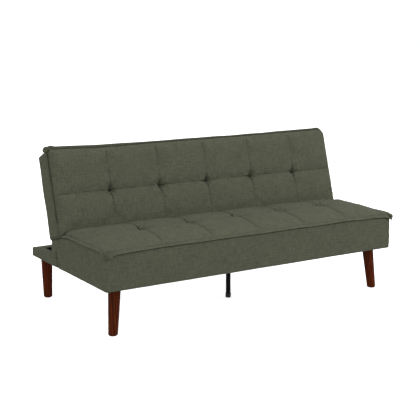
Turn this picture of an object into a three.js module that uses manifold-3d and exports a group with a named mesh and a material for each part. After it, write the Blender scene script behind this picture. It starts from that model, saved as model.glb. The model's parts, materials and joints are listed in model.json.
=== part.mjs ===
// Armless click-clack sofa bed: a timber seat box and a U-shaped rear frame on
// turned legs, with a tufted backrest that hinges from upright to flat.
//
// Units are millimetres, +Z is up and the sofa faces -Y. Sections are laid out from
// the face of the front apron (y = 0); the whole group is then centred over the floor.

import * as THREE from 'three';
import { mergeVertices } from 'three/addons/utils/BufferGeometryUtils.js';
import Module from 'manifold-3d';

const wasm = await Module();
wasm.setup();

// ---- driving dimensions ----------------------------------------------------

const WIDTH = 1680;
const DEPTH = 865;
const UNDERSIDE = 225;
const GAP = 0.3;
const COVER = 6;
const HALF = WIDTH / 2;

// seat box
const RAIL_THICK = 22;
const RAIL_BOTTOM = UNDERSIDE + 5.3;
const SLAT_BED = 318;
const SLAT_THICK = 12;
const SLAT_WIDTH = 90;
const SLAT_PITCH = 330;
const SLAT_NAMES = ['far_left', 'left', 'middle', 'right', 'far_right'];
const BOX_DEPTH = 545;
const TAIL_DEPTH = 610;
const TAIL_BOTTOM = 272;
const TAIL_TOP = 331;
const TAIL_FOAM_END = 603;
const FLANGE = 400;

// rear frame
const REAR_RAIL = 50;
const REAR_RAIL_TOP = 270.5;
const REAR_START = BOX_DEPTH + 3;
const REAR_COVER = 4;
const LINING_THICK = 4;

// legs
const LEG_TOP_R = 30;
const LEG_FOOT_R = 22.5;
const GLIDE_THICK = 4;
const PLATE_THICK = 3;
const BOLT_R = 4;
const FRONT_FOOT = { x: 780, y: 66, splayX: 0.094, splayY: 0.075 };
const REAR_FOOT = { x: 775, y: 834, splayX: 0, splayY: 0 };
const CENTRE_FLANGE = 64;
const CENTRE_LEG = { x: 15, y: 315, r: 12.5, wall: 1.5 };

// backrest, in its own frame: x across, y from the front face back, z up the face
const BACK_TILT = THREE.MathUtils.degToRad(16);
const BACK_FOOT = new THREE.Vector2(466.3, 398);
const BACK_HEIGHT = 430.7;
const BACK_THICK = 157;
const BACK_SEAM = 30;
const BACK_CORNER_R = 38;
const BACK_COVER = 5;
const BACK_REAR_SKIN = BACK_THICK - COVER;
const BOARD_THICK = 4;
const FOAM_BACK = 90;
const TIMBER_FRONT = FOAM_BACK + BOARD_THICK + 2 * GAP;
const TIMBER_WIDE = 44;
const BOARD_DROP = 10;
const TOP_RAIL_DROP = 22;

// hinge, on the line where the backrest turns
const PIVOT = new THREE.Vector2(565, 309);
const PIN_R = 5;
const PIN_HEAD_R = 8;
const PIN_HEAD = 2.5;
const HINGE_PLATE = 4;
const HINGE_BOSS_R = 18;
const HINGE_X = HALF - REAR_RAIL - GAP;
const HINGE_FOOT = { end: 662, bottom: 232, top: 264, neckY: 606, neckZ: 268 };
const ARM_LOW = -40;
const SLOT = { inner: 768, outer: 794, front: 538 };

// ---- materials -------------------------------------------------------------

const finish = (color, roughness, metalness = 0) =>
  new THREE.MeshStandardMaterial({ color, roughness, metalness });

const weave = finish(0x51534a, 0.95);
const lining = finish(0x1c1c1d, 0.95);
const foam = finish(0xd9d0a8, 0.9);
const timber = finish(0xc2a070, 0.8);
const board = finish(0x8a6a45, 0.8);
const stainedWood = finish(0x5a2a17, 0.4);
const zincSteel = finish(0x9da0a3, 0.35, 0.9);
const blackSteel = finish(0x141416, 0.45, 0.4);
const rubber = finish(0x1a1a1a, 0.8);
const nylon = finish(0x2a2724, 0.6);

// ---- shape helpers ---------------------------------------------------------

const sofa = new THREE.Group();
sofa.position.y = -DEPTH / 2;

function add(name, geometry, material, parent = sofa) {
  const mesh = new THREE.Mesh(geometry, material);
  mesh.name = name;
  parent.add(mesh);
  return mesh;
}

const mirrored = [
  { side: 'left', sign: -1 },
  { side: 'right', sign: 1 },
];

/** A box between two x, two y and two z values. */
function block([x0, x1], [y0, y1], [z0, z1]) {
  const geometry = new THREE.BoxGeometry(Math.abs(x1 - x0), y1 - y0, z1 - z0);
  return geometry.translate((x0 + x1) / 2, (y0 + y1) / 2, (z0 + z1) / 2);
}

const polygon = (points) => new THREE.Shape(points.map(([a, b]) => new THREE.Vector2(a, b)));

/** A side profile, drawn in (y, z), carried across from x0 to x1. */
function acrossX(shape, x0, x1) {
  const geometry = new THREE.ExtrudeGeometry(shape, { depth: x1 - x0, bevelEnabled: false });
  const turn = new THREE.Matrix4().makeBasis(
    new THREE.Vector3(0, 1, 0),
    new THREE.Vector3(0, 0, 1),
    new THREE.Vector3(1, 0, 0),
  );
  return geometry.applyMatrix4(turn).translate(x0, 0, 0);
}

/** A front view, drawn in (x, z), carried back from y0 to y1. */
function alongY(shape, y0, y1, bevel = 0) {
  const geometry = new THREE.ExtrudeGeometry(shape, {
    depth: y1 - y0 - 2 * bevel,
    curveSegments: 6,
    bevelEnabled: bevel > 0,
    bevelThickness: bevel,
    bevelSize: bevel,
    bevelOffset: -bevel,
    bevelSegments: 3,
  });
  const turn = new THREE.Matrix4().makeBasis(
    new THREE.Vector3(1, 0, 0),
    new THREE.Vector3(0, 0, 1),
    new THREE.Vector3(0, -1, 0),
  );
  return geometry.applyMatrix4(turn).translate(0, y1 - bevel, 0);
}

/** A turned piece about a vertical axis, from a profile of [radius, z] points. */
function turned(profile, sides = 32) {
  const points = profile.map(([r, z]) => new THREE.Vector2(r, z));
  return new THREE.LatheGeometry(points, sides).rotateX(Math.PI / 2);
}

/** A round bar along x, y or z. */
function bar(radius, from, to, axis, centre, sides = 24) {
  const geometry = new THREE.CylinderGeometry(radius, radius, to - from, sides);
  if (axis === 'x') geometry.rotateZ(-Math.PI / 2).translate((from + to) / 2, centre[0], centre[1]);
  if (axis === 'y') geometry.translate(centre[0], (from + to) / 2, centre[1]);
  if (axis === 'z') geometry.rotateX(Math.PI / 2).translate(centre[0], centre[1], (from + to) / 2);
  return geometry;
}

function solid(geometry) {
  const bare = geometry.clone();
  bare.deleteAttribute('normal');
  bare.deleteAttribute('uv');
  const merged = mergeVertices(bare);
  return new wasm.Manifold(
    new wasm.Mesh({
      numProp: 3,
      vertProperties: new Float32Array(merged.attributes.position.array),
      triVerts: new Uint32Array(merged.index.array),
    }),
  );
}

/** The geometry with every tool cut out of it. */
function cut(geometry, ...tools) {
  let body = solid(geometry);
  for (const tool of tools) {
    body = body.subtract(solid(tool));
  }
  const mesh = body.getMesh();
  const result = new THREE.BufferGeometry();
  result.setAttribute('position', new THREE.BufferAttribute(new Float32Array(mesh.vertProperties), 3));
  result.setIndex(new THREE.BufferAttribute(new Uint32Array(mesh.triVerts), 1));
  return result;
}

/** Leans a vertical piece so that its horizontal sections stay horizontal circles. */
function leaned(geometry, splayX, splayY) {
  const shear = new THREE.Matrix4().set(1, 0, splayX, 0, 0, 1, splayY, 0, 0, 0, 1, 0, 0, 0, 0, 1);
  return geometry.applyMatrix4(shear);
}

// ---- legs ------------------------------------------------------------------

function legProfile() {
  const top = UNDERSIDE - GAP;
  const bottom = GLIDE_THICK + GAP;
  const boreR = BOLT_R + GAP;
  const boreEnd = top - 42;
  const chamfer = 2;
  return [
    [0, bottom],
    [LEG_FOOT_R - chamfer, bottom],
    [LEG_FOOT_R, bottom + chamfer],
    [LEG_TOP_R, top - chamfer],
    [LEG_TOP_R - chamfer, top],
    [boreR, top],
    [boreR, boreEnd],
    [0, boreEnd],
  ];
}

function hangerBoltProfile(plateTop) {
  const bottom = UNDERSIDE - 40;
  const nutBottom = plateTop + GAP;
  const nutTop = nutBottom + 6.5;
  const nutR = 7.5;
  const top = nutTop + 5;
  return [[0, bottom], [BOLT_R, bottom], [BOLT_R, nutBottom], [nutR, nutBottom], [nutR, nutTop],
    [BOLT_R, nutTop], [BOLT_R, top], [0, top]];
}

function glideProfile() {
  const r = LEG_FOOT_R - 4;
  return [[0, 0], [r - 1.5, 0], [r, 1.5], [r, GLIDE_THICK], [0, GLIDE_THICK]];
}

/** Where a leaning leg's centre line stands at height z, to the right-hand side. */
function legCentre(foot, z) {
  return [foot.x - foot.splayX * z, foot.y + foot.splayY * z];
}

const PLATE_BOTTOM = { front: UNDERSIDE + 2, rear: UNDERSIDE + GAP };
const PLATE_SIZE = { front: [100, 100], rear: [90, 40] };
const BOLT_CLEAR_R = BOLT_R + 1.5;

function plateCentre(row, foot) {
  if (row === 'front') return [HALF - 10 - PLATE_SIZE.front[0] / 2, 8 + PLATE_SIZE.front[1] / 2];
  return [foot.x, DEPTH - REAR_RAIL / 2];
}

function addLeg(row, side, sign, foot) {
  const lean = [-sign * foot.splayX, foot.splayY];
  const place = (geometry) => leaned(geometry, ...lean).translate(sign * foot.x, foot.y, 0);
  add(`leg_${row}_${side}`, place(turned(legProfile())), stainedWood);
  add(`glide_${row}_${side}`, place(turned(glideProfile())), nylon);

  const plateTop = PLATE_BOTTOM[row] + PLATE_THICK;
  add(`hanger_bolt_${row}_${side}`, place(turned(hangerBoltProfile(plateTop), 20)), zincSteel);

  const [plateX, plateY] = plateCentre(row, foot);
  const [sizeX, sizeY] = PLATE_SIZE[row];
  const [boltX, boltY] = legCentre(foot, plateTop);
  const plate = block(
    [sign * plateX - sizeX / 2, sign * plateX + sizeX / 2],
    [plateY - sizeY / 2, plateY + sizeY / 2],
    [PLATE_BOTTOM[row], plateTop],
  );
  const hole = bar(BOLT_CLEAR_R, UNDERSIDE - 5, UNDERSIDE + 15, 'z', [sign * boltX, boltY]);
  add(`leg_plate_${row}_${side}`, cut(plate, hole), zincSteel);
}

for (const { side, sign } of mirrored) {
  addLeg('front', side, sign, FRONT_FOOT);
  addLeg('rear', side, sign, REAR_FOOT);
}

function addCentreLeg() {
  const { x, y, r, wall } = CENTRE_LEG;
  const flangeTop = UNDERSIDE - GAP;
  const flangeBottom = flangeTop - PLATE_THICK;
  const capFloor = 6;
  const capTop = 24;
  const bore = r + GAP;
  const capR = bore + 1.5;
  const capEase = 4;
  const cap = [[0, 0], [capR - capEase, 0], [capR - 1, 1.5], [capR, capEase], [capR, capTop], [bore, capTop],
    [bore, capFloor], [0, capFloor]];
  const tubeBottom = capFloor + GAP;
  const tubeTop = flangeBottom - GAP;
  const tube = [[r, tubeBottom], [r, tubeTop], [r - wall, tubeTop], [r - wall, tubeBottom], [r, tubeBottom]];
  add('centre_leg_tube', turned(tube).translate(x, y, 0), blackSteel);
  add('centre_leg_foot', turned(cap).translate(x, y, 0), rubber);
  const half = CENTRE_FLANGE / 2;
  const flange = block([x - half, x + half], [y - half, y + half], [flangeBottom, flangeTop]);
  add('centre_leg_flange', flange, blackSteel);
}
addCentreLeg();

// ---- seat box timber -------------------------------------------------------

const INNER = HALF - COVER - GAP;
const FRONT_RAIL_Y = [COVER + GAP, COVER + GAP + RAIL_THICK];
const REAR_RAIL_Y = [BOX_DEPTH - 4.5 - RAIL_THICK, BOX_DEPTH - 4.5];
const BETWEEN_RAILS = [FRONT_RAIL_Y[1] + GAP, REAR_RAIL_Y[0] - GAP];
const SIDE_BOLT = { x: 803, z: (UNDERSIDE + REAR_RAIL_TOP) / 2, end: 600 };
const SIDE_BOLT_HEAD_R = 6.5;

function sideBoltHole(sign) {
  return bar(BOLT_R + GAP, REAR_RAIL_Y[0] - 5, SIDE_BOLT.end + GAP, 'y', [sign * SIDE_BOLT.x, SIDE_BOLT.z]);
}

function addSeatTimber() {
  const low = [RAIL_BOTTOM, SLAT_BED];
  const full = [RAIL_BOTTOM, SLAT_BED + SLAT_THICK];
  add('seat_rail_front', block([-INNER, INNER], FRONT_RAIL_Y, low), timber);
  const rear = block([-INNER, INNER], REAR_RAIL_Y, low);
  add('seat_rail_rear', cut(rear, sideBoltHole(-1), sideBoltHole(1)), timber);
  for (const { side, sign } of mirrored) {
    const across = [sign * (INNER - RAIL_THICK), sign * INNER];
    add(`seat_rail_${side}`, block(across, BETWEEN_RAILS, full), timber);
  }
  add('seat_beam_centre', block([-22, 22], BETWEEN_RAILS, low), timber);

  SLAT_NAMES.forEach((name, i) => {
    const x = (i - (SLAT_NAMES.length - 1) / 2) * SLAT_PITCH;
    const height = [SLAT_BED + GAP, SLAT_BED + SLAT_THICK];
    const length = [FRONT_RAIL_Y[0], REAR_RAIL_Y[1]];
    add(`slat_${name}`, block([x - SLAT_WIDTH / 2, x + SLAT_WIDTH / 2], length, height), timber);
  });
}
addSeatTimber();

// ---- seat upholstery -------------------------------------------------------

// The line that the seat pad is sewn along: level, then falling away under the backrest.
const SEAM_LINE = [[330, FLANGE], [452, 372], [500, 366.5], [550, 359], [575, 354], [597, 346.5], [604, 338],
  [604, 332]];

/** The seam line lowered by a gap, from the front edge to the tail. */
const underSeam = (y0, drop) => [[y0, FLANGE - drop], ...SEAM_LINE.map(([y, z]) => [y - drop, z - drop])];

function hingeSlots() {
  return mirrored.map(({ sign }) =>
    block([sign * SLOT.inner, sign * SLOT.outer], [SLOT.front, TAIL_DEPTH + 5], [TAIL_BOTTOM - 5, FLANGE]));
}

function seatPad() {
  const crown = [[610, 332], [607, 345], [599, 353], [578, 361], [550, 366], [500, 373.5], [452, 379],
    [451, 400], [447, 416], [438, 430], [418, 441], [380, 448], [300, 452], [150, 452], [70, 447], [30, 438],
    [10, 424], [0, FLANGE + 6]];
  const outline = [[0, FLANGE], ...SEAM_LINE, ...crown];
  return cut(acrossX(polygon(outline), -HALF, HALF), ...hingeSlots());
}

function seatFoam() {
  const bottom = SLAT_BED + SLAT_THICK + GAP;
  const tailFloor = TAIL_BOTTOM + LINING_THICK + GAP;
  const tailStart = BOX_DEPTH - LINING_THICK;
  const top = underSeam(FRONT_RAIL_Y[0], GAP).reverse();
  const outline = [[FRONT_RAIL_Y[0], bottom], [tailStart, bottom], [tailStart, tailFloor],
    [TAIL_FOAM_END, tailFloor], ...top];
  return cut(acrossX(polygon(outline), -INNER, INNER), ...hingeSlots());
}

function sidePanel(sign) {
  const front = COVER + GAP;
  const top = underSeam(front, GAP).reverse();
  const outline = [[front, UNDERSIDE], [BOX_DEPTH, UNDERSIDE], [BOX_DEPTH, TAIL_BOTTOM],
    [TAIL_DEPTH - GAP, TAIL_BOTTOM], [TAIL_DEPTH - GAP, TAIL_TOP], ...top];
  const x = sign > 0 ? [HALF - COVER, HALF] : [-HALF, -HALF + COVER];
  return acrossX(polygon(outline), ...x);
}

/** The cloth behind the seat box: down its back, and around the tail over the rear rails. */
function seatRearCover() {
  const start = BOX_DEPTH - LINING_THICK;
  const foot = UNDERSIDE + 2;
  const end = TAIL_DEPTH - 2 * GAP;
  const inside = end - LINING_THICK;
  const ledge = TAIL_BOTTOM + LINING_THICK;
  const outline = [[start, foot], [BOX_DEPTH, foot], [BOX_DEPTH, TAIL_BOTTOM], [end, TAIL_BOTTOM],
    [end, TAIL_TOP], [inside, TAIL_TOP], [inside, ledge], [start, ledge]];
  return cut(acrossX(polygon(outline), -INNER, INNER), ...hingeSlots(), sideBoltHole(-1), sideBoltHole(1));
}

function dustCover() {
  const sheet = block([-INNER, INNER], [FRONT_RAIL_Y[0], BOX_DEPTH - 4.5], [UNDERSIDE, UNDERSIDE + 1.5]);
  const holes = mirrored.map(({ sign }) => {
    const [x, y] = legCentre(FRONT_FOOT, UNDERSIDE);
    return bar(BOLT_CLEAR_R, UNDERSIDE - 5, UNDERSIDE + 5, 'z', [sign * x, y]);
  });
  return cut(sheet, ...holes);
}

add('seat_foam', seatFoam(), foam);
add('seat_pad', seatPad(), weave);
add('seat_apron_front', block([-HALF, HALF], [0, COVER], [UNDERSIDE, FLANGE - GAP]), weave);
for (const { side, sign } of mirrored) {
  add(`seat_panel_${side}`, sidePanel(sign), weave);
}
add('seat_rear_cover', seatRearCover(), lining);
add('dust_cover', dustCover(), lining);

// ---- U-shaped rear frame ---------------------------------------------------

const REAR_TIMBER_Z = [UNDERSIDE + REAR_COVER + GAP, REAR_RAIL_TOP - REAR_COVER - GAP];
const BACK_RAIL_FRONT = DEPTH - REAR_RAIL;

function rearBoltHole(sign) {
  return bar(BOLT_CLEAR_R + 3, UNDERSIDE - 5, UNDERSIDE + 25, 'z', [sign * REAR_FOOT.x, REAR_FOOT.y]);
}

function addRearFrame() {
  const skin = REAR_COVER + GAP;
  for (const { side, sign } of mirrored) {
    const inner = HALF - REAR_RAIL;
    const arm = [sign * (inner + skin), sign * (HALF - skin)];
    const armTimber = block(arm, [REAR_START + 2, BACK_RAIL_FRONT - GAP], REAR_TIMBER_Z);
    add(`rear_frame_${side}`, cut(armTimber, sideBoltHole(sign)), timber);
    const outside = [sign * inner, sign * HALF];
    const sleeve = block(outside, [REAR_START, BACK_RAIL_FRONT - GAP], [UNDERSIDE, REAR_RAIL_TOP]);
    const inside = [sign * (inner + REAR_COVER), sign * (HALF - REAR_COVER)];
    const hollow = block(inside, [REAR_START - 5, DEPTH], [UNDERSIDE - 5, REAR_RAIL_TOP - REAR_COVER]);
    add(`rear_rail_cover_${side}`, cut(sleeve, hollow), weave);
  }
  const beam = block([-HALF + skin, HALF - skin], [BACK_RAIL_FRONT + skin, DEPTH - skin], REAR_TIMBER_Z);
  add('rear_frame_back', cut(beam, rearBoltHole(-1), rearBoltHole(1)), timber);
  const sleeve = block([-HALF, HALF], [BACK_RAIL_FRONT, DEPTH], [UNDERSIDE, REAR_RAIL_TOP]);
  const across = [-HALF + REAR_COVER, HALF - REAR_COVER];
  const deep = [BACK_RAIL_FRONT + REAR_COVER, DEPTH - REAR_COVER];
  const hollow = block(across, deep, [UNDERSIDE - 5, REAR_RAIL_TOP - REAR_COVER]);
  add('rear_rail_cover_back', cut(sleeve, hollow), weave);
}
addRearFrame();

/** The bolts that tie the rear frame to the back of the seat box. */
function sideBolt(sign) {
  const head = 5;
  const start = REAR_RAIL_Y[0] - GAP;
  const profile = [[0, start - head], [SIDE_BOLT_HEAD_R, start - head], [SIDE_BOLT_HEAD_R, start],
    [BOLT_R, start], [BOLT_R, SIDE_BOLT.end], [0, SIDE_BOLT.end]];
  return turned(profile, 20).rotateX(-Math.PI / 2).translate(sign * SIDE_BOLT.x, 0, SIDE_BOLT.z);
}
for (const { side, sign } of mirrored) {
  add(`frame_bolt_${side}`, sideBolt(sign), zincSteel);
}

// ---- hinges ----------------------------------------------------------------

/** A plate with a round boss on the pivot, drawn in (y, z) around that pivot. */
function bossedPlate(pivot, rest, startAngle, endAngle) {
  const shape = new THREE.Shape();
  shape.absarc(pivot.x, pivot.y, HINGE_BOSS_R, startAngle, endAngle, false);
  rest.forEach(([y, z]) => shape.lineTo(y, z));
  shape.closePath();
  const hole = new THREE.Path();
  hole.absarc(pivot.x, pivot.y, PIN_R + GAP, 0, 2 * Math.PI, true);
  shape.holes.push(hole);
  return shape;
}

function addHingeBase(side, sign) {
  const { end, bottom, top, neckY, neckZ } = HINGE_FOOT;
  const foot = [[PIVOT.x - HINGE_BOSS_R, bottom], [end, bottom], [end, top], [neckY, neckZ]];
  const shape = bossedPlate(PIVOT, foot, -0.1, Math.PI);
  const x = sign > 0 ? [HINGE_X - HINGE_PLATE, HINGE_X] : [-HINGE_X, -HINGE_X + HINGE_PLATE];
  add(`hinge_base_${side}`, acrossX(shape, ...x), blackSteel);

  const pinStart = HINGE_X - 2 * HINGE_PLATE - 2 * GAP - PIN_HEAD;
  const neck = HINGE_X + GAP;
  const profile = [[0, pinStart], [PIN_HEAD_R, pinStart], [PIN_HEAD_R, pinStart + PIN_HEAD],
    [PIN_R, pinStart + PIN_HEAD], [PIN_R, neck], [PIN_HEAD_R, neck], [PIN_HEAD_R, neck + PIN_HEAD],
    [0, neck + PIN_HEAD]];
  const rivet = turned(profile, 24).rotateY(sign * Math.PI / 2).translate(0, PIVOT.x, PIVOT.y);
  add(`hinge_rivet_${side}`, rivet, zincSteel);
}
for (const { side, sign } of mirrored) {
  addHingeBase(side, sign);
}

// ---- backrest --------------------------------------------------------------

const backrest = new THREE.Group();
backrest.position.set(0, BACK_FOOT.x, BACK_FOOT.y);
backrest.rotation.x = -BACK_TILT;
sofa.add(backrest);

/** The backrest seen from the front, inset evenly, its top lowered by a drop and its corners rounded. */
function backOutline(inset, drop = 0) {
  const x = HALF - inset;
  const low = inset;
  const high = BACK_HEIGHT - inset - drop;
  const top = BACK_CORNER_R - inset;
  const bottom = Math.max(12 - inset, 4);
  const shape = new THREE.Shape();
  shape.absarc(x - bottom, low + bottom, bottom, -Math.PI / 2, 0, false);
  shape.absarc(x - top, high - top, top, 0, Math.PI / 2, false);
  shape.absarc(-x + top, high - top, top, Math.PI / 2, Math.PI, false);
  shape.absarc(-x + bottom, low + bottom, bottom, Math.PI, 1.5 * Math.PI, false);
  shape.closePath();
  return shape;
}

function pivotInBackrest() {
  const from = PIVOT.clone().sub(BACK_FOOT);
  return from.rotateAround(new THREE.Vector2(), BACK_TILT);
}

const ARM_X = HINGE_X - HINGE_PLATE - GAP;
const ARM_V = [105, 140];
const ARM_TOP = 130;

function hingeArm(sign) {
  const [front, rear] = ARM_V;
  const strap = [[rear, ARM_LOW], [rear, ARM_TOP], [front, ARM_TOP], [front, ARM_LOW]];
  const shape = bossedPlate(pivotInBackrest(), strap, Math.PI * 0.98, Math.PI * 2.02);
  const x = sign > 0 ? [ARM_X - HINGE_PLATE, ARM_X] : [-ARM_X, -ARM_X + HINGE_PLATE];
  return acrossX(shape, ...x);
}

function backBorder() {
  const ring = backOutline(0);
  ring.holes.push(new THREE.Path(backOutline(BACK_COVER).getPoints(6).reverse()));
  const deep = [ARM_V[0] - 10, ARM_V[1] + 5];
  const slots = mirrored.map(({ sign }) => {
    const across = [sign * (ARM_X - HINGE_PLATE - 2), sign * (ARM_X + 2)];
    return block(across, deep, [-5, BACK_COVER + 5]);
  });
  return cut(alongY(ring, BACK_SEAM, BACK_REAR_SKIN - GAP), ...slots);
}

function addBackTimber() {
  const inset = BACK_COVER + GAP;
  const deep = [TIMBER_FRONT, BACK_REAR_SKIN - GAP];
  const stileInner = ARM_X + GAP;
  const stileOuter = HALF - inset;
  const stileTop = BACK_HEIGHT - BACK_CORNER_R;
  for (const { side, sign } of mirrored) {
    const stile = block([sign * stileInner, sign * stileOuter], deep, [inset + 6, stileTop]);
    add(`back_stile_${side}`, stile, timber, backrest);
  }
  const railEnd = ARM_X - HINGE_PLATE - GAP;
  const bottomTop = inset + TIMBER_WIDE;
  const railTop = BACK_HEIGHT - inset - TOP_RAIL_DROP;
  const topBottom = railTop - TIMBER_WIDE;
  add('back_rail_bottom', block([-railEnd, railEnd], deep, [inset, bottomTop]), timber, backrest);
  add('back_rail_top', block([-railEnd, railEnd], deep, [topBottom, railTop]), timber, backrest);
  const middle = block([-TIMBER_WIDE / 2, TIMBER_WIDE / 2], deep, [bottomTop + GAP, topBottom - GAP]);
  add('back_stile_centre', middle, timber, backrest);
}

function addBackrest() {
  add('back_pad', alongY(backOutline(0), 0, BACK_SEAM - GAP, 10), weave, backrest);
  add('back_border', backBorder(), weave, backrest);
  const inset = BACK_COVER + GAP;
  add('back_foam', alongY(backOutline(inset), BACK_SEAM, FOAM_BACK), foam, backrest);
  const boardFront = FOAM_BACK + GAP;
  const panel = alongY(backOutline(inset, BOARD_DROP), boardFront, boardFront + BOARD_THICK);
  add('back_board', panel, board, backrest);
  add('back_rear_cover', alongY(backOutline(0), BACK_REAR_SKIN, BACK_THICK), weave, backrest);
  addBackTimber();
  for (const { side, sign } of mirrored) {
    add(`hinge_arm_${side}`, hingeArm(sign), blackSteel, backrest);
  }
}
addBackrest();

export default sofa;
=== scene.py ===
"""Looks of the armless click-clack sofa bed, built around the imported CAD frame.

Metres, +Z up, the sofa faces -Y. Places come from the CAD boxes, and the soft shapes from sewing
dimensions set by comparison with the photograph. y in the seat's functions is measured back from
FRONT. x, v and u on the backrest are across it, back from its face, and up it. Each cloth carries
its own flat coordinates in the UV map "cloth", so that the weave follows each panel.
"""
import bpy
import bmesh
import json
import math
import numpy as np
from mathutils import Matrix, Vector


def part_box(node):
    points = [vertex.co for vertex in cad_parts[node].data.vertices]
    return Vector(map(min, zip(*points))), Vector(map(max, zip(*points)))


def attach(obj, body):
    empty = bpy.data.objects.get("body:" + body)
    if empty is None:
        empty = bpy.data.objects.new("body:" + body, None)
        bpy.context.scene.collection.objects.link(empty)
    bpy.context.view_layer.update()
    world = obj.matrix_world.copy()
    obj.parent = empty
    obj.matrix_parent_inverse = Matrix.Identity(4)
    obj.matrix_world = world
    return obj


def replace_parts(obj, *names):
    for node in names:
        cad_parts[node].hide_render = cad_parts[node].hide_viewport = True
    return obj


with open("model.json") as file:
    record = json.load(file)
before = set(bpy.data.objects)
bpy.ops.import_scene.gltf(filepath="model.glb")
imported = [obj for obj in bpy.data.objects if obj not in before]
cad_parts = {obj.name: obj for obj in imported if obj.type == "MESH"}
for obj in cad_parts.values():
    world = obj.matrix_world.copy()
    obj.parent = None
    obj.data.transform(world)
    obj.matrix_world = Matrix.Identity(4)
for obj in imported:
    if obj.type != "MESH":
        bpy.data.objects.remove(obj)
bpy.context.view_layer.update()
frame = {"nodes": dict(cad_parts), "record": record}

# ---- dimensions ----

MM = 0.001
APRON_LOW, APRON_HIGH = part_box("seat_apron_front")
HALF = APRON_HIGH.x
FRONT = APRON_LOW.y
UNDERSIDE = APRON_LOW.z
TAIL_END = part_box("seat_pad")[1].y - FRONT
RAIL_LOW, RAIL_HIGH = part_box("rear_rail_cover_back")
RAIL_WIDE = RAIL_HIGH.y - RAIL_LOW.y
SIDE_RAIL_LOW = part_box("rear_rail_cover_right")[0]
BOX_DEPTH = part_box("dust_cover")[1].y - FRONT + 4.5 * MM
# the slit in each side where the box ends and the tail goes on: where, how high, how deep
SLIT_Y = BOX_DEPTH + 1 * MM
SLIT_TOP = 0.292
SLIT_DEEP = 15 * MM
TAIL_FLOOR = 0.272
POST_LOW, POST_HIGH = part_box("centre_leg_tube")
CENTRE_X, CENTRE_Y = (POST_LOW.x + POST_HIGH.x) / 2, (POST_LOW.y + POST_HIGH.y) / 2
FLANGE_THICK = 4.2 * MM
CLOTH_THICK = 2.2 * MM
FOAM_INSET = 7.5 * MM
HINGE_SLOT = (0.768, 0.794)

# tufts, each row spaced evenly
TUFT_PITCH = 0.272
SEAT_SHIFT = 4 * MM
TUFTS = [SEAT_SHIFT + TUFT_PITCH * k for k in (-2, -1, 0, 1, 2)]
SEAT_TUFT_Y = 0.234
BACK_SPREAD = 9 * MM
BACK_PITCH = (2 * HALF + 2 * BACK_SPREAD) / 6
BACK_SHIFT = 15.5 * MM
BACK_TUFTS = [BACK_SHIFT + BACK_PITCH * k for k in (-2, -1, 0, 1, 2)]

# backrest: its frame of (x, v, u), its seam, its corners (left, right) and its tufts' height
BACK_TILT = math.radians(16)
BACK_FOOT = Vector((0, FRONT + 0.4663, 0.398))
BACK_HEIGHT = 0.4307
BACK_THICK = 0.157
BACK_SEAM = 0.030
SEAM_INSET = 11 * MM
BACK_CORNER = (0.018, 0.036)
TIGHTEST = 9 * MM
BACK_TUFT_U = 0.202
FOAM_REAR = 0.090

# ---- arrays and meshes ----


def smooth(t):
    """0 below 0, 1 above 1, and an S between."""
    t = np.clip(t, 0, 1)
    return t * t * (3 - 2 * t)


def bump(distance, width):
    """A soft hill, 1 at distance 0 and nearly 0 at twice the width."""
    return np.exp(-(distance / width) ** 2)


def through(points, t):
    """Heights at t on a smooth curve through (t, height) points, without overshoot."""
    xs, ys = np.array(points, float).T
    steps = np.diff(ys) / np.diff(xs)
    slopes = np.concatenate([[steps[0]], np.zeros(len(xs) - 2), [steps[-1]]])
    same = steps[:-1] * steps[1:] > 0
    slopes[1:-1][same] = 2 / (1 / steps[:-1][same] + 1 / steps[1:][same])
    k = np.clip(np.searchsorted(xs, t) - 1, 0, len(xs) - 2)
    span = xs[k + 1] - xs[k]
    f = np.clip((t - xs[k]) / span, 0, 1)
    near = (1 + 2 * f) * (1 - f) ** 2 * ys[k] + f * (1 - f) ** 2 * span * slopes[k]
    far = f * f * (3 - 2 * f) * ys[k + 1] - f * f * (1 - f) * span * slopes[k + 1]
    return near + far


def unevenness(a, b, pitch, seed):
    """Gentle random rise and fall, between about -1 and 1, with waves about pitch long."""
    draw = np.random.default_rng(seed)
    total = np.zeros(np.broadcast(a, b).shape)
    waves = 7
    for _ in range(waves):
        angle, phase = draw.uniform(0, 2 * np.pi, 2)
        turn = 2 * np.pi / (pitch * draw.uniform(0.7, 1.6))
        total += np.sin(turn * (a * np.cos(angle) + b * np.sin(angle)) + phase)
    return total / math.sqrt(waves)


def arc_length(points):
    """How far along a row of points each one is."""
    steps = np.linalg.norm(np.diff(points, axis=0), axis=1)
    return np.concatenate([[0], np.cumsum(steps)])


WELD = 0.02 * MM


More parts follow.
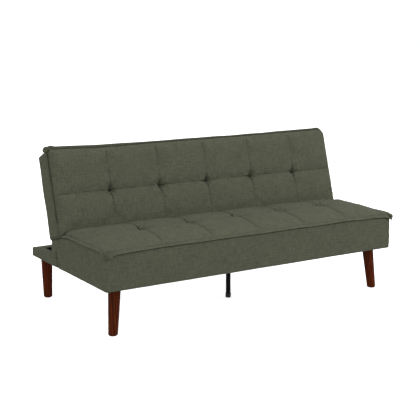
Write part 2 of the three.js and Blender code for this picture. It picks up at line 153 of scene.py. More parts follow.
class Cloth:
    """Collects grids of points into one mesh, with the cloth's own flat coordinates as its UV map."""

    def __init__(self):
        self.points, self.flat, self.faces, self.slots = [], [], [], []
        self.count = 0

    def grid(self, points, flat, flip=False, keep=None, slot=0, closed=False):
        """Adds rows of points. keep chooses faces, slot is their material, closed joins last row to first."""
        rows, columns = points.shape[:2]
        index = self.count + np.arange(rows * columns).reshape(rows, columns)
        if closed:
            index = np.concatenate([index, index[:1]])
        corners = [index[:-1, :-1], index[1:, :-1], index[1:, 1:], index[:-1, 1:]]
        faces = np.stack(corners[::-1] if flip else corners, axis=-1)
        use = np.ones(faces.shape[:2], bool) if keep is None else keep
        self.points.append(points.reshape(-1, 3))
        self.flat.append(flat.reshape(-1, 2))
        self.faces += faces[use].tolist()
        self.slots += np.broadcast_to(slot, faces.shape[:2])[use].tolist()
        self.count += rows * columns

    def fan(self, ring, flat, flip=False, slot=0):
        """Closes a ring of points with triangles to its centre."""
        first, count = self.count, len(ring)
        self.points.append(np.vstack([ring, ring.mean(axis=0)]))
        self.flat.append(np.vstack([flat, flat.mean(axis=0)]))
        for k in range(count):
            face = [first + k, first + (k + 1) % count, first + count]
            self.faces.append(face[::-1] if flip else face)
        self.slots += [slot] * count
        self.count += count + 1

    def close_ends(self, points, flat, flip=False, slot=0):
        """Closes both ends of a tube whose rings are the columns of a grid."""
        for end, over in ((0, flip), (-1, not flip)):
            self.fan(points[:, end], flat[:, end], over, slot)

    def build(self, name, body, slot, *looks):
        """Makes the piece, which rides on body. looks are the materials that the faces' slots number."""
        points, flat = np.vstack(self.points), np.vstack(self.flat)
        mesh = bpy.data.meshes.new(name)
        mesh.from_pydata(points.tolist(), [], self.faces)
        loops = np.empty(len(mesh.loops), np.int32)
        mesh.loops.foreach_get("vertex_index", loops)
        uv = mesh.uv_layers.new(name="cloth")
        uv.data.foreach_set("uv", flat[loops].astype(np.float32).ravel())
        mesh.polygons.foreach_set("material_index", self.slots)
        mesh.polygons.foreach_set("use_smooth", [True] * len(mesh.polygons))
        work = bmesh.new()
        work.from_mesh(mesh)
        bmesh.ops.remove_doubles(work, verts=work.verts, dist=WELD)
        work.to_mesh(mesh)
        work.free()
        for look in looks:
            mesh.materials.append(look)
        piece = bpy.data.objects.new(name, mesh)
        bpy.context.scene.collection.objects.link(piece)
        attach(piece, body)
        return piece


def rim_of(grid):
    """True on the outermost rows and columns of a grid."""
    rim = np.ones(grid.shape, bool)
    rim[1:-1, 1:-1] = False
    return rim


def nearest(x, marks):
    """Distance to the nearest of some marks."""
    return np.minimum.reduce([np.abs(x - mark) for mark in marks])


def laid_flat(along, across):
    """Flat coordinates of a grid's points, along it for its columns and across it for its rows."""
    return np.stack(np.broadcast_arrays(along[None, :], across[:, None]), axis=-1)


def horseshoe(half, far, sides, crossing, radii, out, steps):
    """A path along the left side, round a corner, across, and back along the right, and its outward normals.

    sides are the places of the points on each side from its open end, crossing those across at far, radii the
    two corners' radii, out +1 or -1 as far faces, and steps the fineness of a corner."""
    turn = np.linspace(0, np.pi / 2, steps)[1:-1]
    arc_n = np.stack([-np.cos(turn), out * np.sin(turn)], -1)
    limbs = []
    for side, radius in zip(sides, radii):
        arc = arc_n * radius + [-half + radius, far - out * radius]
        limbs.append(np.vstack([np.stack([np.full_like(side, -half), side], -1), arc]))
    middle = np.stack([crossing, np.full_like(crossing, far)], -1)
    limb_n = np.vstack([np.tile([-1.0, 0.0], (len(sides[0]), 1)), arc_n])
    mirror = np.array([-1.0, 1.0])
    path = np.vstack([limbs[0], middle, limbs[1][::-1] * mirror])
    normal = np.vstack([limb_n, np.tile([0.0, float(out)], (len(crossing), 1)), limb_n[::-1] * mirror])
    return path, normal


# a sewn edge's half thickness at each share of its reach
FIN_SECTION = [(0, 1), (0.16, 0.55), (0.3, 0.95), (0.5, 1), (0.75, 1), (0.92, 0.8), (1, 0.35)]


def fin(name, body, root, tip, along, bow):
    """A sewn edge of folded cloth from root points to tip points, bowed by a share of its reach."""
    reach = tip - root
    across = np.cross(reach, np.gradient(root, axis=0))
    across /= np.linalg.norm(across, axis=1)[:, None]
    section = FIN_SECTION + [(t, -side) for t, side in reversed(FIN_SECTION)]
    length = np.linalg.norm(reach, axis=1)
    bows = bow * length[:, None]
    points = np.stack([root + reach * t + across * (side * FLANGE_THICK / 2 + bows * np.sin(np.pi * t))
                       for t, side in section])
    widths = np.array([t if side > 0 else 2 - t for t, side in section]) * float(length.mean())
    flat = laid_flat(along, widths)
    cloth = Cloth()
    cloth.grid(points, flat, closed=True)
    cloth.close_ends(points, flat)
    cloth.build(name, body, "upholstery_fabric", OLIVE)


# the cloth simulation's settings, its grid, its length and the furthest that it may move a point
STUFFING = {"quality": 6, "mass": 0.3, "tension_stiffness": 20, "compression_stiffness": 6,
            "shear_stiffness": 6, "bending_stiffness": 0.3, "use_pressure": True,
            "uniform_pressure_force": 1.0, "vertex_group_mass": "held", "pin_stiffness": 1.0,
            "shrink_min": -0.012}
SETTLE_COLUMNS = 190
SETTLE_FRAMES = 16
SETTLE_CAP = 6 * MM


def filled_in(values, marks, count):
    """Rows of (x, y, z) values at marks, interpolated at every place from 0 to count - 1."""
    places = np.arange(count)
    return np.stack([[np.interp(places, marks, line) for line in values[..., k]] for k in range(3)], -1)


def settled(points, held):
    """A stuffed cover after it has been blown up and let wrinkle: cloth simulation of a coarser grid.

    points is a grid on the cover's outer face, held is 1 where stitches or buttons hold it and 0 where
    it is free. The movement is capped, and carried over to every point of the grid."""
    high, wide = held.shape
    lines = max(8, round(high * (SETTLE_COLUMNS - 1) / (wide - 1)))
    rows, cols = [np.unique(np.round(np.linspace(0, size - 1, count)).astype(int))
                  for size, count in ((high, lines), (wide, SETTLE_COLUMNS))]
    start = points[np.ix_(rows, cols)]
    index = np.arange(len(rows) * len(cols)).reshape(len(rows), len(cols))
    faces = np.stack([index[:-1, 1:], index[1:, 1:], index[1:, :-1], index[:-1, :-1]], axis=-1)
    mesh = bpy.data.meshes.new("settling")
    mesh.from_pydata(start.reshape(-1, 3).tolist(), [], faces.reshape(-1, 4).tolist())
    trial = bpy.data.objects.new("settling", mesh)
    scene = bpy.context.scene
    scene.collection.objects.link(trial)
    group = trial.vertex_groups.new(name="held")
    for vertex, weight in enumerate(np.clip(held[np.ix_(rows, cols)], 0, 1).ravel().tolist()):
        group.add([vertex], weight, "REPLACE")
    cloth = trial.modifiers.new("settling", "CLOTH")
    cloth.point_cache.frame_start = 1
    cloth.point_cache.frame_end = SETTLE_FRAMES
    cloth.collision_settings.use_collision = False
    cloth.settings.effector_weights.gravity = 0
    for setting, value in STUFFING.items():
        setattr(cloth.settings, setting, value)
    for moment in range(1, SETTLE_FRAMES + 1):
        scene.frame_set(moment)
    seen = trial.evaluated_get(bpy.context.evaluated_depsgraph_get())
    ended = np.empty(len(seen.data.vertices) * 3, np.float32)
    seen.data.vertices.foreach_get("co", ended)
    moved = ended.reshape(start.shape) - start
    far = np.linalg.norm(moved, axis=-1, keepdims=True)
    moved *= SETTLE_CAP * np.tanh(far / SETTLE_CAP) / np.maximum(far, 1e-9)
    bpy.data.objects.remove(trial)
    bpy.data.meshes.remove(mesh)
    scene.frame_set(1)
    across = filled_in(moved, cols, wide)
    full = filled_in(np.swapaxes(across, 0, 1), rows, high)
    return points + np.swapaxes(full, 0, 1)


def thicken(piece, thick=CLOTH_THICK):
    """Turns an open cloth surface into a closed shell, growing inwards, or outwards if thick is negative."""
    shell = piece.modifiers.new("thickness", "SOLIDIFY")
    shell.thickness = thick
    shell.offset = -1
    shell.use_rim = True
    graph = bpy.context.evaluated_depsgraph_get()
    seen = piece.evaluated_get(graph)
    mesh = bpy.data.meshes.new_from_object(seen, preserve_all_data_layers=True, depsgraph=graph)
    piece.modifiers.clear()
    piece.data = mesh


# (x, how far the stuffed top has sunk) and (x, how far the sewn edge stands out), along the backrest's top
BACK_SAG = [(-HALF, 1.3 * MM), (-0.78, 2.7 * MM), (-0.56, 10.0 * MM), (-0.2, 6.7 * MM), (0.2, 5.7 * MM),
            (HALF, 0.7 * MM)]
FIN_REACH = [(-HALF, 13.5 * MM), (-0.78, 17.0 * MM), (-0.56, 16.5 * MM), (-0.2, 12.8 * MM), (0.2, 12.5 * MM),
             (HALF, 13.5 * MM)]


def back_to_world(points):
    """Backrest coordinates (across, away from the face, up the face) to the row frame.

    The stuffed top has settled a few millimetres below the line of the frame."""
    x, v, u = np.moveaxis(points, -1, 0)
    u = u - through(BACK_SAG, x) * smooth((u - 0.25) / (BACK_HEIGHT - 0.25))
    sin, cos = math.sin(BACK_TILT), math.cos(BACK_TILT)
    return np.stack([x, BACK_FOOT.y + v * cos + u * sin, BACK_FOOT.z - v * sin + u * cos], axis=-1)


# ---- materials ----


class Nodes:
    """A small helper that adds shader nodes and wires them up by socket name."""

    def __init__(self, name):
        self.material = bpy.data.materials.new(name)
        self.material.use_nodes = True
        self.tree = self.material.node_tree
        self.shader = self.tree.nodes["Principled BSDF"]

    def add(self, kind, inputs=(), **settings):
        node = self.tree.nodes.new(f"ShaderNode{kind}")
        for key, value in settings.items():
            setattr(node, key, value)
        for key, value in dict(inputs).items():
            self.plug(node.inputs[key], value)
        return node

    def plug(self, socket, value):
        if isinstance(value, bpy.types.NodeSocket):
            self.tree.links.new(value, socket)
        else:
            socket.default_value = value

    def math(self, operation, *values):
        return self.add("Math", enumerate(values), operation=operation).outputs[0]

    def mix(self, factor, low, high):
        """The mix of two colours: low where factor is 0, high where it is 1."""
        return self.add("Mix", {0: factor, 6: low, 7: high}, data_type="RGBA").outputs[2]

    def noise(self, vector, scale, detail=2.0, roughness=0.5):
        inputs = {"Vector": vector, "Scale": scale, "Detail": detail, "Roughness": roughness}
        return self.add("TexNoise", inputs).outputs[0]

    def stretch(self, vector, scale):
        return self.add("Mapping", {"Vector": vector, "Scale": scale}).outputs[0]

    def ramp(self, value, low, high):
        """value rescaled so that low gives 0 and high gives 1, clamped."""
        return self.add("MapRange", {"Value": value, "From Min": low, "From Max": high}).outputs[0]

    def vary(self, tone, value, span, below, above):
        """tone drawn to one (colour, share) where value is low in its span, and another where high."""
        ends = [self.mix(share, tone, target) for target, share in (below, above)]
        return self.mix(self.ramp(value, *span), *ends)

    def bumps(self, height, strength, distance):
        inputs = {"Height": height, "Strength": strength, "Distance": distance}
        return self.add("Bump", inputs).outputs[0]

    def finish(self, inputs):
        """Sets the shader's inputs by name, and gives the material."""
        for key, value in inputs.items():
            self.plug(self.shader.inputs[key], value)
        return self.material


def colour(red, green, blue):
    """A display colour, 0 to 255, as the linear colour that a shader takes."""
    def linear(c):
        c /= 255
        return c / 12.92 if c <= 0.04045 else ((c + 0.055) / 1.055) ** 2.4
    return (linear(red), linear(green), linear(blue), 1)


THREAD = 1.5 * MM
# how far the painted crease shade looks for nearby cloth, and its near-black colour
PAINTED_SHADE_REACH = 14 * MM
PAINTED_CREASE_SHADE = colour(12, 12, 10)


def woven(name, base, light, dark, depth=0.35, sheen=0.12):
    """Plain-woven cloth of uneven, flecked yarn. Its pattern lies on the flat cloth."""
    n = Nodes(name)
    flat = n.add("UVMap", uv_map="cloth").outputs[0]
    parts = n.add("SeparateXYZ", {"Vector": flat})
    waves = [n.math("SINE", n.math("MULTIPLY", parts.outputs[k], math.pi / THREAD)) for k in (0, 1)]
    over = n.math("MULTIPLY", *waves)
    ridge = n.math("ABSOLUTE", over)
    warp, weft = [n.noise(n.stretch(flat, scale), 1.0, 3.0, 0.6) for scale in ((420, 34, 1), (34, 420, 1))]
    slubs = [n.noise(n.stretch(flat, scale), 1.0, 2.0, 0.6) for scale in ((150, 24, 1), (24, 150, 1))]
    fleck = n.noise(flat, 190.0, 3.0, 0.7)
    cloud = n.noise(flat, 11.0, 3.0, 0.55)
    yarn = n.mix(n.ramp(over, -0.2, 0.2), warp, weft)
    heather = n.math("ADD", *[n.math("MULTIPLY", slub, 0.5) for slub in slubs])
    tone = n.mix(n.ramp(yarn, 0.32, 0.68), dark, light)
    tone = n.vary(tone, fleck, (0.34, 0.66), (dark, 0.6), (light, 0.6))
    tone = n.mix(0.3, tone, base)
    tone = n.vary(tone, heather, (0.40, 0.60), (dark, 0.42), (light, 0.34))
    tone = n.mix(n.ramp(ridge, 0.0, 0.35), n.mix(0.5, tone, dark), tone)
    tone = n.vary(tone, cloud, (0.25, 0.75), (dark, 0.14), (light, 0.12))
    # painted shade: the colour darkens towards near black in creases and recesses, where the ambient
    # occlusion node finds little open sky
    open_sky = n.add("AmbientOcclusion", {"Distance": PAINTED_SHADE_REACH}, samples=6).outputs["AO"]
    tone = n.mix(n.ramp(open_sky, 0.15, 0.8), n.mix(0.65, tone, PAINTED_CREASE_SHADE), tone)
    height = n.math("ADD", n.math("MULTIPLY", ridge, 0.8), n.math("MULTIPLY", fleck, 0.5))
    height = n.math("ADD", height, n.math("MULTIPLY", heather, 1.2))
    return n.finish({
        "Base Color": tone, "Roughness": n.math("ADD", 0.86, n.math("MULTIPLY", fleck, 0.12)),
        "Normal": n.bumps(height, depth, 0.6 * MM), "Specular IOR Level": 0.15,
        "Sheen Weight": sheen, "Sheen Roughness": 0.5, "Sheen Tint": light})


def wood(name, pale, deep, rough, gloss):
    """Straight-grained wood, the grain running up the piece."""
    n = Nodes(name)
    place = n.add("TexCoord").outputs["Object"]
    wander = n.noise(n.stretch(place, (9, 9, 1.6)), 1.0, 3.0, 0.55)
    sway = n.add("CombineXYZ", {"X": n.math("MULTIPLY", wander, 0.05)}).outputs[0]
    swayed = n.add("VectorMath", {0: place, 1: sway}, operation="ADD").outputs[0]
    rings = {"Vector": n.stretch(swayed, (1, 1, 0.06)), "Scale": 38.0, "Distortion": 3.0, "Detail": 3.0,
             "Detail Scale": 1.5}
    bands = n.add("TexWave", rings, bands_direction="X").outputs["Fac"]
    fibre = n.noise(n.stretch(place, (900, 900, 22)), 1.0, 3.0, 0.7)
    cloud = n.noise(n.stretch(place, (14, 14, 5)), 1.0, 2.0, 0.5)
    tone = n.mix(n.ramp(bands, 0.15, 0.9), pale, deep)
    tone = n.vary(tone, fibre, (0.35, 0.75), (pale, 0.25), (deep, 0.45))
    tone = n.mix(n.math("MULTIPLY", cloud, 0.4), tone, deep)
    return n.finish({
        "Base Color": tone, "Roughness": n.math("ADD", rough, n.math("MULTIPLY", fibre, 0.14)),
        "Normal": n.bumps(fibre, 0.12, 0.2 * MM), "Specular IOR Level": gloss})


def metal(name, base, rough, metallic, gloss=0.5):
    """Plated or powder-coated steel, with faint mottling and a fine surface texture."""
    n = Nodes(name)
    place = n.add("TexCoord").outputs["Object"]
    cloud = n.noise(place, 60.0, 3.0, 0.6)
    grit = n.noise(place, 1400.0, 2.0, 0.5)
    dull = tuple(0.6 * c for c in base[:3]) + (1,)
    mottle = 0.05
    return n.finish({
        "Base Color": n.mix(n.math("MULTIPLY", cloud, 0.6), base, dull),
        "Roughness": n.math("ADD", rough - mottle, n.math("MULTIPLY", cloud, 3 * mottle)),
        "Normal": n.bumps(grit, 0.08, 0.1 * MM), "Metallic": metallic, "Specular IOR Level": gloss})


def dull_solid(name, base, shade, scale, rough, depth):
    """Rubber, plastic or foam: a mottled matt solid with a pitted surface."""
    n = Nodes(name)
    place = n.add("TexCoord").outputs["Object"]
    pores = n.noise(place, scale, 4.0, 0.6)
    cloud = n.noise(place, scale / 25, 2.0, 0.5)
    tone = n.mix(n.ramp(pores, 0.3, 0.7), shade, base)
    return n.finish({
        "Base Color": n.mix(n.math("MULTIPLY", cloud, 0.3), tone, shade),
        "Roughness": n.math("ADD", rough, n.math("MULTIPLY", pores, 0.1)),
        "Normal": n.bumps(pores, depth, 0.4 * MM)})


OLIVE = woven("olive_weave", colour(78, 80, 66), colour(96, 99, 82), colour(58, 60, 48))
LINING = woven("black_lining", colour(24, 24, 25), colour(34, 34, 36), colour(12, 12, 13), 0.2, 0.0)
STAINED = wood("stained_wood", colour(98, 38, 8), colour(40, 15, 5), 0.38, 0.05)
TIMBER = wood("frame_timber", colour(214, 182, 138), colour(176, 138, 92), 0.6, 0.0)
BOARD = dull_solid("hardboard", colour(128, 92, 58), colour(96, 66, 40), 500.0, 0.6, 0.1)
ZINC = metal("zinc_steel", colour(176, 178, 180), 0.32, 1.0)
BLACK_STEEL = metal("black_steel", colour(13, 13, 14), 0.45, 0.0, gloss=0.08)
RUBBER = dull_solid("foot_rubber", colour(14, 14, 15), colour(8, 8, 9), 700.0, 0.7, 0.1)
NYLON = dull_solid("glide_nylon", colour(56, 50, 46), colour(38, 33, 30), 700.0, 0.45, 0.05)
FOAM = dull_solid("foam", colour(226, 216, 178), colour(196, 184, 140), 350.0, 0.85, 0.5)

# ---- seat cushion ----

# (y, height) of the sewn edge's lower lip and of the cushion's crown, from front to rear
SEAT_WELT = [(0, 0.4030), (0.05, 0.4037), (0.28, 0.4030), (0.36, 0.4020), (0.404, 0.4000), (0.476, 0.3915),
             (0.52, 0.3800), (0.58, 0.3610), (0.610, 0.3380)]
SEAT_PROFILE = [(0, 0.4135), (0.012, 0.4165), (0.05, 0.428), (0.10, 0.440), (0.17, 0.4495), (0.25, 0.4535),
                (0.34, 0.4505), (0.39, 0.4435), (0.42, 0.4365), (0.44, 0.427), (0.451, 0.413), (0.457, 0.397),
                (0.466, 0.386), (0.50, 0.378), (0.55, 0.370), (0.580, 0.3635), (0.599, 0.354),
                (0.610, 0.340)]
SEAT_EDGE = 2 * MM
WELT = 11.5 * MM
# how wide a stitched seam and the sewn rim hold the cloth while it settles
SEAM_HOLD, RIM_HOLD = 4 * MM, 6 * MM
# how deep and how wide the dimples at the tufts are
SEAT_DIMPLE = (0.028, 0.040)
BACK_DIMPLE = (0.026, 0.024)


def spread(low, high, ends, count, gather=0.72):
    """Points from low to high that pass through ends and gather closely around them."""
    marks = [low, *ends, high]
    total = high - low
    rows = []
    for start, stop in zip(marks[:-1], marks[1:]):
        steps = max(4, round(count * (stop - start) / total))
        t = np.arange(steps) / steps
        t = t - gather * np.sin(2 * np.pi * t) / (2 * np.pi)
        rows.append(start + (stop - start) * t)
    return np.concatenate([*rows, [high]])


def front_or_side(front, side, y):
    """A height along the sewn edge: front across the front panel, side along the sides."""
    return side + (front - side) * bump(y, 0.03)


def welt_low(x, y):
    """Height of the lower lip of the sewn edge, which droops towards the front corners."""
    return front_or_side(0.4015 - 0.013 * (np.abs(x) / HALF) ** 9, through(SEAT_WELT, y), y)


def seam_height(x, y):
    """Height of the stitched seam itself, a welt's height above the lip."""
    side = through(SEAT_WELT, y) + WELT * (1 - 0.75 * smooth((y - 0.42) / 0.12))
    return front_or_side(0.4130 + 0 * x, side, y)


def panel_wave(x, pitch):
    """0 on the seams between panels and 1 in the middle of each."""
    return np.abs(np.sin(np.pi * x / pitch))


def tuft_pull(a, b, tufts, b_tuft, deep, wide, seed, flatten=1.0, core=0.34):
    """Depth of the dimples at the tufts, with short folds running out of each."""
    draw = np.random.default_rng(seed)
    total = np.zeros(np.broadcast(a, b).shape)
    for tuft in tufts:
        da, db = a - tuft, (b - b_tuft) * flatten
        far = np.hypot(da, db)
        angle = np.arctan2(db, da)
        dimple = deep * (0.5 * bump(far, wide) + 0.5 * bump(far, wide * core))
        folds = np.zeros_like(far)
        for turns in (4, 7, 9):
            folds += 0.4 * np.cos(turns * angle + draw.uniform(0, 2 * np.pi))
        total += dimple + 0.16 * deep * folds * bump(far - 0.8 * wide, 0.7 * wide)
        pleats = np.cos(2 * np.pi * da / (0.30 * wide) + draw.uniform(-0.5, 0.5))
        total += 0.10 * deep * pleats * bump(da, 0.55 * wide) * bump(np.abs(db) - 0.9 * wide, 0.6 * wide)
    return total


def seat_top(x, y):
    """Height of the cushion's top: crowned, round-edged in front and boxy behind, with seams and tufts."""
    from_side = HALF - np.abs(x)
    boxy = smooth((y - 0.22) / 0.2)
    edge = np.clip((from_side - SEAT_EDGE) / (0.20 - 0.172 * boxy), 0, 1)
    rise = (1 - (1 - edge) ** (1.6 + 0.6 * boxy)) ** (0.77 - 0.27 * boxy)
    slow = np.clip(1 - from_side / 0.5, 0, 1) ** 2
    rise *= 1 - 0.18 * slow * smooth((y - 0.25) / 0.15) * (1 - smooth((y - 0.45) / 0.03))
    seam = seam_height(x, y)
    height = seam + (through(SEAT_PROFILE, y) - seam) * rise
    height -= 0.008 * smooth((x - 0.55) / 0.25) * smooth((y - 0.25) / 0.1) * (1 - smooth((y - 0.44) / 0.03))
    crowned = smooth(y / 0.07) * (1 - smooth((y - 0.39) / 0.05)) * smooth(from_side / 0.08)
    height += crowned * 0.0025 * (panel_wave(x - SEAT_SHIFT, TUFT_PITCH) - 0.6)
    height -= crowned * 0.002 * bump(nearest(x, TUFTS), 0.004)
    height -= crowned * 0.0025 * bump(y - SEAT_TUFT_Y, 0.012)
    height -= crowned * tuft_pull(x, y, TUFTS, SEAT_TUFT_Y, *SEAT_DIMPLE, 3, flatten=1.2, core=0.45)
    height += crowned * 0.0016 * unevenness(x, y, 0.16, 5)
    return height


def seat_cushion():
    """The tufted pad on the seat, from the front seam to the end of its tail under the backrest."""
    half = HALF - SEAT_EDGE
    across = spread(-half, half, TUFTS, 340)
    deep = np.concatenate([
        SEAT_EDGE + (0.05 - SEAT_EDGE) * np.linspace(0, 1, 16)[:-1] ** 1.3,
        spread(0.05, 0.40, [SEAT_TUFT_Y], 84, 0.6)[:-1],
        np.linspace(0.40, 0.48, 34)[:-1],
        np.linspace(0.48, TAIL_END - SEAT_EDGE, 22),
    ])
    y, x = np.meshgrid(deep, across, indexing="ij")
    seam = seam_height(x, y)
    top = np.stack([x, FRONT + y, np.maximum(seat_top(x, y), seam + 0.4 * MM)], axis=-1)
    rim = rim_of(x)
    top[rim, 2] = seam[rim]
    aside, away = nearest(x, TUFTS), np.abs(y - SEAT_TUFT_Y)
    held = bump(np.hypot(aside, away), 0.016) + 0.35 * bump(np.minimum(aside, away), SEAM_HOLD)
    held += smooth((y - 0.39) / 0.04) + bump(np.minimum(y, half - np.abs(x)), RIM_HOLD)
    held[rim] = 1
    top = settled(top, held)
    under = np.stack([x, FRONT + y, np.where(rim, seam, seam - 6 * MM)], axis=-1)
    along = arc_length(np.stack([deep, through(SEAT_PROFILE, deep)], axis=-1))
    flat = laid_flat(across, along)
    cloth = Cloth()
    cloth.grid(top, flat, flip=True)
    cloth.grid(under, flat)
    cushion = cloth.build("seat_cushion", "root", "upholstery_fabric", OLIVE)
    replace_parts(cushion, "seat_pad")


def seat_outline(inset, radius, rear):
    """Plan of the seat box from the left rear, round the front, to the right rear, with its normals."""
    half, front = HALF - inset, FRONT + inset
    side = np.concatenate([np.linspace(FRONT + rear, FRONT + 0.50, 70)[:-1],
                           np.linspace(FRONT + 0.50, front + radius, 80)])
    crossing = np.linspace(-half + radius, half - radius, 241)
    return horseshoe(half, front, (side, side), crossing, (radius, radius), -1, 12)


def seat_flange():
    """The sewn edge between cushion and seat box, drooping into an ear at each front corner."""
    plan, normal = seat_outline(0.5 * MM, 8 * MM, TAIL_END - 0.012)
    along = arc_length(plan)
    x, y = plan[:, 0], plan[:, 1] - FRONT
    fade = 1 - smooth((y - 0.52) / 0.06)
    out = (0.0105 + 0.0010 * unevenness(along, 0 * along, 0.22, 11)) * (0.35 + 0.65 * fade)
    low = welt_low(x, y) + 0.0008 * unevenness(along, 0 * along, 0.17, 13)
    # the ears: a deep fold just round the corner on the left, a stub on the right
    for side, setback, droop, reach in ((-1, 0.014, 0.008, 0.005), (1, 0.002, 0.012, 0.008)):
        on_side = x * side > 0
        low -= droop * on_side * bump(np.hypot(x - side * (HALF - setback), y), 0.017)
        out += reach * on_side * bump(np.hypot(x - side * HALF, y), 0.020)
    root = np.column_stack([plan - normal * 1.5 * MM, seam_height(x, y) + 0.5 * MM])
    tip = np.column_stack([plan + normal * out[:, None], low])
    fin("seat_flange", "root", root, tip, along, bow=-0.10)


def fold(name, body, route, widths, thick, facing):
    """A short folded end of a sewn edge: flattened rings along a smooth curve through the route."""
    route, widths = np.array(route, float), np.array(widths, float)
    t = np.linspace(0, 1, 15)
    marks = np.linspace(0, 1, len(route))
    spine = np.stack([through(np.column_stack([marks, route[:, k]]), t) for k in range(3)], -1)
    wide = through(np.column_stack([marks, widths]), t)
    tangent = np.gradient(spine, axis=0)
    across = np.cross(tangent, np.broadcast_to(facing, spine.shape))
    across /= np.linalg.norm(across, axis=1)[:, None]
    out = np.cross(across, tangent)
    out /= np.linalg.norm(out, axis=1)[:, None]
    angles = np.linspace(0, 2 * np.pi, 24, endpoint=False)
    ends = np.sqrt(np.clip(1 - (2 * t - 1) ** 8, 0.04, 1))
    points = np.stack([spine + across * (wide / 2 * ends * np.cos(a))[:, None]
                       + out * (thick / 2 * ends * np.sin(a))[:, None] for a in angles])
    flat = laid_flat(arc_length(spine), angles * np.mean(wide) / 2)
    cloth = Cloth()
    cloth.grid(points, flat, closed=True, flip=True)
    cloth.close_ends(points, flat, flip=True)
    cloth.build(name, body, "upholstery_fabric", OLIVE)


def seat_corner_folds():
    """The surplus of the sewn edge, folded over itself at each front corner.

    Widths are in mm, and places are mm past the side, behind the front, and up."""
    for name, side, facing, widths, route in (
        ("seat_flange_fold_left", -1, (-1, -1, 0.2), (14, 20, 20, 14),
         ((4, 14, 419), (6, 3, 412), (-1, -9, 399), (-14, -12, 385))),
        ("seat_flange_fold_right", 1, (0.3, -1, 0.3), (14, 18, 18, 13),
         ((-14, -3, 407), (-2, -7, 403), (7, -6, 396), (12, -2, 387))),
    ):
        places = [(side * (HALF + out * MM), FRONT + y * MM, z * MM) for out, y, z in route]
        fold(name, "root", places, np.array(widths) * MM, 10 * MM, facing)


# ---- seat box cover ----


def seat_box_cover():
    """One cloth skin round the sides and front of the seat box, hemmed underneath."""
    plan, normal = seat_outline(0.0, 12 * MM, TAIL_END - 1 * MM)
    along = arc_length(plan)
    local_y = plan[:, 1] - FRONT
    top = seam_height(plan[:, 0], local_y) - 1.5 * MM
    lip = welt_low(plan[:, 0], local_y)
    bottom = UNDERSIDE + 0.5 * MM
    hem, bend = 14 * MM, 7 * MM
    low = bottom + bend
    # each row: how far in it lies, its height, and its place on the flat cloth
    rows = [(bend + hem * (1 - t), bottom, -bend * 1.5 - hem * (1 - t)) for t in (0, 0.33, 0.66)]
    for share in np.linspace(0, 1, 7)[:-1]:
        a = share * np.pi / 2
        rows.append((bend * (1 - math.sin(a)), bottom + bend * (1 - math.cos(a)), -bend * 1.5 * (1 - share)))
    for t in np.linspace(0, 1, 12)[:-1]:
        rows.append((0.0, low + (TAIL_FLOOR - low) * t, (TAIL_FLOOR - low) * t))
    above_from = len(rows)
    for t in np.concatenate([np.linspace(0, 0.78, 18)[:-1], np.linspace(0.78, 1, 20)]):
        rows.append((0.0, TAIL_FLOOR + (top - TAIL_FLOOR) * t, TAIL_FLOOR - low + 0.14 * t))
    points = []
    for inset, height, _ in rows:
        height = height + 0 * along
        up = np.clip((height - bottom) / (top - bottom), 0, 1)
        swell = 2.0 * MM * np.sin(np.pi * up)
        wave = 0.9 * MM * unevenness(along, height, 0.22, 21)
        wave += 0.5 * MM * unevenness(along, height * 2.5, 0.09, 22)
        tucked = 8 * MM * smooth((height - lip + 6.5 * MM) / (4.5 * MM))
        slit = SLIT_DEEP * bump(local_y - SLIT_Y, 10 * MM) * (1 - smooth((height - SLIT_TOP) / 0.025))
        tail = 1.5 * MM * smooth((local_y - BOX_DEPTH) / 0.03) * (1 - smooth((height - 0.33) / 0.04))
        rear = 2 * MM * smooth((local_y - TAIL_END + 0.010) / 0.008) ** 2
        out = swell + wave - tucked - slit - tail - rear - inset
        points.append(np.column_stack([plan + normal * out[:, None], height]))
    points = np.stack(points)
    between = (local_y[:-1] + local_y[1:]) / 2
    # painted shade: the faces deep in the slit take the black lining, a dark cloth put where the slit is in
    # shade
    slit_shade_faces = (points[:-1, :-1, 2] < SLIT_TOP + 2 * MM) & (np.abs(between - SLIT_Y) < 6 * MM)
    above = (np.arange(len(rows) - 1) >= above_from)[:, None]
    cloth = Cloth()
    flat = laid_flat(along, np.array([row[2] for row in rows]))
    cloth.grid(points, flat, keep=(between <= BOX_DEPTH) | above, slot=slit_shade_faces.astype(int))
    cover = cloth.build("seat_box_cover", "root", "upholstery_fabric", OLIVE, LINING)
    thicken(cover)
    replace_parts(cover, "seat_apron_front", "seat_panel_left", "seat_panel_right")


